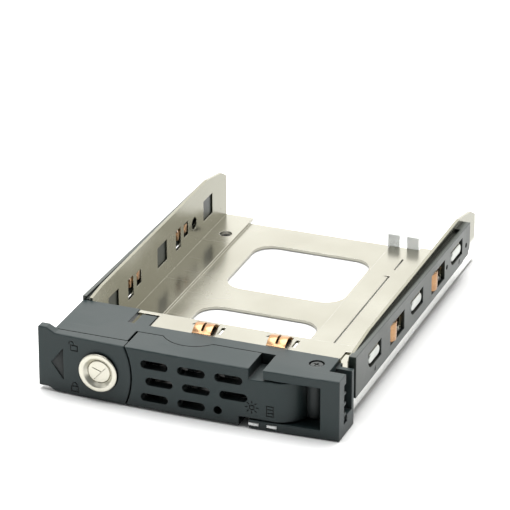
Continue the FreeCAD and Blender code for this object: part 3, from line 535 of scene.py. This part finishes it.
def turned(name, middle, axis, steps, sides=72):
    # a circle drawn out ring by ring along Y or Z; each step is (radius, place on the axis)
    along = Vector((0, 1, 0)) if axis == "Y" else Vector((0, 0, 1))
    turn = (math.pi / 2, 0, 0) if axis == "Y" else (0, 0, 0)
    radius, place = steps[0]
    start = middle + along * place * mm
    bpy.ops.mesh.primitive_circle_add(vertices=sides, radius=radius * mm, location=start, rotation=turn)
    piece = nameIt(name)
    bpy.ops.object.transform_apply(location=True, rotation=True, scale=True)
    edit(piece)
    bpy.ops.mesh.select_mode(type="EDGE")
    bpy.ops.mesh.select_all(action="SELECT")
    for nextRadius, nextPlace in steps[1:]:
        pull(along * (nextPlace - place) * mm)
        centre = middle + along * nextPlace * mm
        factor = nextRadius / radius
        bpy.ops.transform.resize(value=(factor, factor, factor), center_override=centre)
        radius, place = nextRadius, nextPlace
    return piece


def capEnds():
    # closes the open ends of the turned piece that is being edited
    bpy.ops.mesh.select_all(action="DESELECT")
    bpy.ops.mesh.select_mode(type="EDGE")
    bpy.ops.mesh.select_non_manifold()
    bpy.ops.mesh.fill_holes(sides=0)


def cutter(size, middle, topScale=1.0, turn=0.0, axis="Z"):
    # a block that a recess is cut with; its top may be wider than its foot
    bpy.ops.mesh.primitive_cube_add(size=1, location=middle, scale=[side * mm for side in size])
    wedge = bpy.context.object
    bpy.ops.object.transform_apply(location=True, rotation=True, scale=True)
    edit(wedge)
    pick(wedge, "faces", lambda p: p.z > middle[2] + size[2] * 0.49 * mm)
    bpy.ops.transform.resize(value=(topScale, topScale, 1), center_override=middle)
    bpy.ops.mesh.select_all(action="SELECT")
    bpy.ops.transform.rotate(value=turn, orient_axis=axis, center_override=middle)
    leaveEdit()
    return wedge


def carve(piece, tools):
    for tool in tools:
        applyModifier(piece, "BOOLEAN", {"operation": "DIFFERENCE", "solver": "EXACT", "object": tool})
        bpy.data.objects.remove(tool, do_unlink=True)


# key lock
lockLook = {"axis": (-24.8, 7.9), "proud": 0.9,
            "ringRadius": 5.15, "barrelRadius": 3.9, "boreRadius": 3.06,
            "plugRadius": 2.98, "rear": 9.6, "rearChamfer": 0.2, "dishRadius": 4.0, "dishDepth": 0.85,
            "boreChamfer": (0.14, 0.15), "rimDepth": 0.22, "rimBack": 0.35, "rimGap": 0.03,
            "innerLip": ((-0.22, 0.22), (-0.06, 0.07), (0.08, 0.02)),
            "outerLip": ((-0.38, 0.01), (-0.2, 0.04), (-0.05, 0.14)),
            "collar": {"inner": 0.34, "outer": 0.01, "chamfer": 0.05, "back": 0.04, "gap": 0.01},
            "plugMiddle": (0.4, 0.03), "plugFlat": (0.6, 0.02),
            "plugLip": ((-0.35, 0.02), (-0.12, 0.06), (0.0, 0.22)),
            "tailRadius": 1.2, "tailGap": 0.1, "tailEnd": 1.6,
            "slotMiddle": (0.7, 0.1), "slotArms": ((2.6, 159), (1.6, 47), (2.9, -131)), "slotOverlap": 0.1,
            "slotDeep": 0.5, "slotWide": 0.17}


def makeLock(look):
    x, z = look["axis"]
    front = bowFront(x)
    face = front - look["proud"]
    middle = at(x, 0, z)
    bore, ring, barrel, rear = look["boreRadius"], look["ringRadius"], look["barrelRadius"], look["rear"]
    dish, start, rim = look["dishRadius"], face + look["dishDepth"], face + look["rimDepth"]
    chamferOut, chamferIn = look["boreChamfer"]
    back, behind, chamfer = ring - look["rimBack"], front - look["rimGap"], look["rearChamfer"]
    profile = [(bore, rear), (bore, start + chamferIn), (bore + chamferOut, start)]
    profile += [(dish + outward, face + deep) for outward, deep in look["innerLip"]]
    profile += [(ring + outward, face + deep) for outward, deep in look["outerLip"]]
    profile += [(ring, rim), (back, rim), (back, behind), (barrel, behind), (barrel, rear - chamfer),
                (barrel - chamfer, rear), (bore, rear)]
    housing = turned("lockRing", middle, "Y", profile)
    leaveEdit()
    settle(housing, looks["lock_nickel"], "release")
    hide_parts("lock_housing")

    # near-black sleeve over the side of the ring, behind its bright rim
    side = look["collar"]
    inner, outer = ring - side["inner"], ring - side["outer"]
    foot, top = front - side["back"], rim + side["gap"]
    collar = turned("lockCollar", middle, "Y", [
        (inner, foot), (inner, top), (ring - side["gap"] - side["chamfer"], top),
        (outer, rim + side["chamfer"]), (outer, foot), (inner, foot),
    ])
    leaveEdit()
    settle(collar, looks["lockCollar"], "release")

    plug, tail, tailStart = look["plugRadius"], look["tailRadius"], rear + look["tailGap"]
    middleRadius, middleDeep = look["plugMiddle"]
    flatShare, flatDeep = look["plugFlat"]
    profile = [(middleRadius, start + middleDeep), (plug * flatShare, start + flatDeep)]
    profile += [(plug + outward, start + deep) for outward, deep in look["plugLip"]]
    profile += [(plug, tailStart), (tail, tailStart), (tail, rear + look["tailEnd"])]
    core = turned("lockPlug", middle, "Y", profile)
    capEnds()
    leaveEdit()
    slotX, slotZ = look["slotMiddle"]
    arms = []
    for length, angle in look["slotArms"]:
        turn = math.radians(angle)
        armX, armZ = slotX + math.cos(turn) * length / 2, slotZ + math.sin(turn) * length / 2
        size = (length + look["slotOverlap"], look["slotDeep"], look["slotWide"])
        arms.append(cutter(size, at(x + armX, start, z + armZ), turn=turn, axis="Y"))
    carve(core, arms)
    settle(core, looks["lock_nickel"], "lock")
    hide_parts("lock_core")
    print("key lock:", housing.name, collar.name, core.name)


# screw that the handle turns on
screwLook = {"axis": (29.6, 7.5), "headRadius": 1.8, "shankRadius": 0.98, "top": 16.05, "headHeight": 0.7,
             "foot": 0.4, "shankChamfer": 0.2, "headChamfer": 0.08, "sides": 48,
             "dome": ((0.0, 0.26), (0.07, 0.14), (0.3, 0.03), (0.5, 0.0)),
             "cross": (1.584, 0.336, 1.1), "crossTopScale": 1.35, "crossTurn": 0.35}


def makeScrew(look):
    x, y = look["axis"]
    head, shank, top, foot = look["headRadius"], look["shankRadius"], look["top"], look["foot"]
    under = top - look["headHeight"]
    chamfer, edge = look["shankChamfer"], look["headChamfer"]
    profile = [(shank - chamfer, foot), (shank, foot + chamfer), (shank, under), (head - edge, under),
               (head, under + edge)]
    profile += [(head - inward, top - down) for inward, down in look["dome"]]
    screw = turned("pivotScrewHead", at(x, y, 0), "Z", profile, look["sides"])
    capEnds()
    leaveEdit()
    place, turn = at(x, y, top), look["crossTurn"]
    turns = (turn, turn + math.pi / 2)
    carve(screw, [cutter(look["cross"], place, look["crossTopScale"], angle) for angle in turns])
    settle(screw, looks["black_steel"], "carrier")
    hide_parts("pivot_screw")
    print("pivot screw:", screw.name)


# contact springs, bent from thin bronze strip
sideSpringLook = {"plate": 36.45, "swell": 2.05, "skew": 0.8, "steps": 14, "front": 38.15, "length": 6.6,
                  "bottom": 8.9, "height": 4.8, "thick": 0.18, "cutWide": 0.45, "pitch": 32.5, "fall": 0.4,
                  "slots": (43.2, 48.8), "tailHeight": 2.3, "tailCutWide": 0.1,
                  "tailStart": ((0.7, 1.7), (0.7, 2.3), (0.0, 3.3)),
                  "tailEnd": ((0.0, 0.2), (0.7, 1.2), (0.7, 2.5))}
shieldSpringLook = {"middles": {"left": -2.9, "right": 16.8}, "width": 4.9, "front": 12.6, "rear": 18.5,
                    "foot": 16.2, "swell": 1.3, "roundness": 0.85, "steps": 14, "cutWide": 0.6, "thick": 0.18,
                    "toe": (0.1, 0.05), "startIn": 0.35, "endsIn": 0.45, "heel": 0.35, "hook": 1.1}


def bendStrip(name, across, path, span, thick, cutWide, gap=(0, 0)):
    # a plane drawn out along the path, then given its thickness
    # across is the direction of the strip's width, and span its two ends
    # two cuts run down its middle, and between them the gap's steps of the path are left open
    sideways = Vector(across)
    first, second = Vector(path[0]), Vector(path[1])
    low, high = span
    middle = (low + high) / 2
    bpy.ops.mesh.primitive_plane_add(size=1)
    strip = nameIt(name)
    edit(strip)
    mesh = bmesh.from_edit_mesh(strip.data)
    for vert in mesh.verts:
        onPath = second if vert.co.x > 0 else first
        width = high if vert.co.y > 0 else low
        vert.co = at(*(onPath + sideways * width))
    bmesh.update_edit_mesh(strip.data)
    for cut in (middle - cutWide / 2, middle + cutWide / 2):
        bpy.ops.mesh.select_all(action="SELECT")
        bpy.ops.mesh.bisect(plane_co=at(*(sideways * cut)), plane_no=sideways)

    def onFrontier(p):
        away = p - at(*here)
        return (away - sideways * away.dot(sideways)).length < weldGap * 2

    here = second
    for point in path[2:]:
        there = Vector(point)
        pick(strip, "edges", onFrontier)
        pull((there - here) * mm)
        here = there
    places = [at(*point) for point in path]

    def inGap(p):
        sidePlace = (p - frameShift * mm).dot(sideways) / mm
        if abs(sidePlace - middle) > cutWide / 2:
            return False
        flat = p - sideways * (p - places[0]).dot(sideways)
        nearest = min(range(len(places) - 1), key=lambda i: ((places[i] + places[i + 1]) / 2 - flat).length)
        return gap[0] <= nearest < gap[1]

    pick(strip, "faces", inGap)
    bpy.ops.mesh.delete(type="FACE")
    leaveEdit()
    applyModifier(strip, "SOLIDIFY", {"thickness": thick * mm, "offset": 0.0, "use_even_offset": True})
    applyModifier(strip, "BEVEL", thinBevel)
    return strip


def makeSideSprings(look):
    plate, steps, thick = look["plate"], look["steps"], look["thick"]
    for index, place in enumerate(("front", "rear")):
        shift = index * look["pitch"]
        low, front = look["bottom"] - index * look["fall"], look["front"] + shift
        bow = []
        for i in range(steps):
            t = i / steps
            swell = look["swell"] * math.sin(math.pi * t ** look["skew"])
            bow.append((plate + swell, front + look["length"] * t))
        slot, nextSlot = look["slots"][0] + shift, look["slots"][1] + shift
        tail = [bow[-1]]
        tail += [(plate - deep, slot + past) for deep, past in look["tailStart"]]
        tail += [(plate - deep, nextSlot + past) for deep, past in look["tailEnd"]]
        for side, sign in (("right", 1), ("left", -1)):
            ending = side + "_" + place
            path = [(sign * x, y, 0.0) for x, y in bow]
            span = (low, low + look["height"])
            spring = bendStrip("sideSpring_" + ending, (0, 0, 1), path, span, thick, look["cutWide"])
            settle(spring, looks["contact_bronze"], "carrier")
            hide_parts("side_spring_" + side + "_" + place)
            path = [(sign * x, y, 0.0) for x, y in tail]
            span = (low, low + look["tailHeight"])
            strip = bendStrip("sideSpringTail_" + ending, (0, 0, 1), path, span, thick, look["tailCutWide"])
            settle(strip, looks["contact_bronze"], "carrier")
    print("side springs bent")


def makeShieldSprings(look):
    front, rear, foot, steps = look["front"], look["rear"], look["foot"], look["steps"]
    toeOut, toeDrop = look["toe"]
    path = [(0.0, front - toeOut, foot - toeDrop)]
    for i in range(steps + 1):
        t = i / steps
        rise = look["swell"] * math.sin(math.pi * t) ** look["roundness"]
        path.append((0.0, front + look["startIn"] + (rear - front - look["endsIn"]) * t, foot + rise))
    path += [(0.0, rear, foot - look["heel"]), (0.0, rear, foot - look["hook"])]
    for side, x in look["middles"].items():
        span = (x - look["width"] / 2, x + look["width"] / 2)
        spring = bendStrip("shieldSpring_" + side, (1, 0, 0), path, span, look["thick"], look["cutWide"],
                           (2, steps - 1))
        settle(spring, looks["contact_bronze"], "carrier")
        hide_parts("shield_spring_" + side)
    print("shield springs bent")


# small inlays on the front
inlayLook = {"arrowMiddle": (-36.2, 8.1), "arrowSize": (3.0, 7.9), "arrowFloorAt": -36.0, "arrowFloor": 0.25,
             "arrowThick": 0.12, "arrowRound": 0.05, "gap": 0.01,
             "windows": {"power": 16.3, "activity": 21.0}, "windowZ": 1.18, "windowSize": (2.45, 0.62),
             "windowProud": 0.1, "windowRim": 0.06, "windowSwell": 0.02}


def makeInlays(look):
    x, z = look["arrowMiddle"]
    floor = bowFront(look["arrowFloorAt"]) + look["arrowFloor"]
    wide, tall = look["arrowSize"]
    bpy.ops.mesh.primitive_cylinder_add(vertices=3, radius=1, depth=1)
    arrow = nameIt("arrowInlay")
    edit(arrow)
    mesh = bmesh.from_edit_mesh(arrow.data)
    for vert in mesh.verts:
        # the cylinder's first corner becomes the tip, and the other two the arrow's back
        tip = vert.co.y > 0.5
        y = floor - look["arrowThick"] if vert.co.z < 0 else floor - look["gap"]
        cornerX = x - wide / 2 if tip else x + wide / 2
        cornerZ = z if tip else z + math.copysign(tall / 2, vert.co.x)
        vert.co = at(cornerX, y, cornerZ)
    bmesh.update_edit_mesh(arrow.data)
    leaveEdit()
    applyModifier(arrow, "BEVEL", {**thinBevel, "width": look["arrowRound"] * mm})
    settle(arrow, looks["inlay"], "release")

    for side, middleX in look["windows"].items():
        wide, tall = look["windowSize"]
        thick = look["windowProud"]
        place = at(middleX, bowFront(middleX) - thick / 2 - look["gap"], look["windowZ"])
        bpy.ops.mesh.primitive_cube_add(size=1, location=place, scale=(wide * mm, thick * mm, tall * mm))
        window = nameIt("lightWindow_" + side)
        bpy.ops.object.transform_apply(location=True, rotation=True, scale=True)
        edit(window)
        pick(window, "faces", lambda p: p.y < place.y - thick * 0.4 * mm)
        bpy.ops.mesh.inset(thickness=look["windowRim"] * mm)
        bpy.ops.transform.translate(value=(0, -look["windowSwell"] * mm, 0))
        leaveEdit()
        applyModifier(window, "BEVEL", thinBevel)
        settle(window, looks["lightWindow"], "carrier")
    print("arrow and light windows set in")


# domed pads on the bosses that show in the rails' eyes
padLook = {"face": 37.66, "proud": 0.48, "front": 21.9, "rear": 29.7, "bottom": 10.5, "top": 13.1,
           "round": 1.25, "crown": 0.38, "smoothAngle": 60.0, "count": 3, "pitch": 32.5, "fall": 0.0078}


def makePads(look):
    proud, front, rear, bottom, top = (look[key] for key in ("proud", "front", "rear", "bottom", "top"))
    for index in range(look["count"]):
        shift = index * look["pitch"]
        y, z = (front + rear) / 2 + shift, (bottom + top) / 2 - look["fall"] * shift
        for side, sign in (("right", 1), ("left", -1)):
            middle = at(sign * (look["face"] + proud / 2), y, z)
            size = (proud * mm, (rear - front) * mm, (top - bottom) * mm)
            bpy.ops.mesh.primitive_cube_add(size=1, location=middle, scale=size)
            pad = nameIt("eyePad_" + side + "_" + str(index + 1))
            bpy.ops.object.transform_apply(location=True, rotation=True, scale=True)
            edit(pad)
            pick(pad, "edges", lambda p: abs(p.x - middle.x) < 0.01 * mm)
            bpy.ops.mesh.bevel(offset=look["round"] * mm, segments=8)
            pick(pad, "edges", lambda p: sign * (p.x - middle.x) > proud * 0.45 * mm)
            bpy.ops.mesh.bevel(offset=look["crown"] * mm, segments=5)
            leaveEdit()
            settle(pad, looks["eyePad"], "carrier", look["smoothAngle"])
    print("pads set in the rails' eyes")


makePads(padLook)
makeLock(lockLook)
makeScrew(screwLook)
makeSideSprings(sideSpringLook)
makeShieldSprings(shieldSpringLook)
makeInlays(inlayLook)
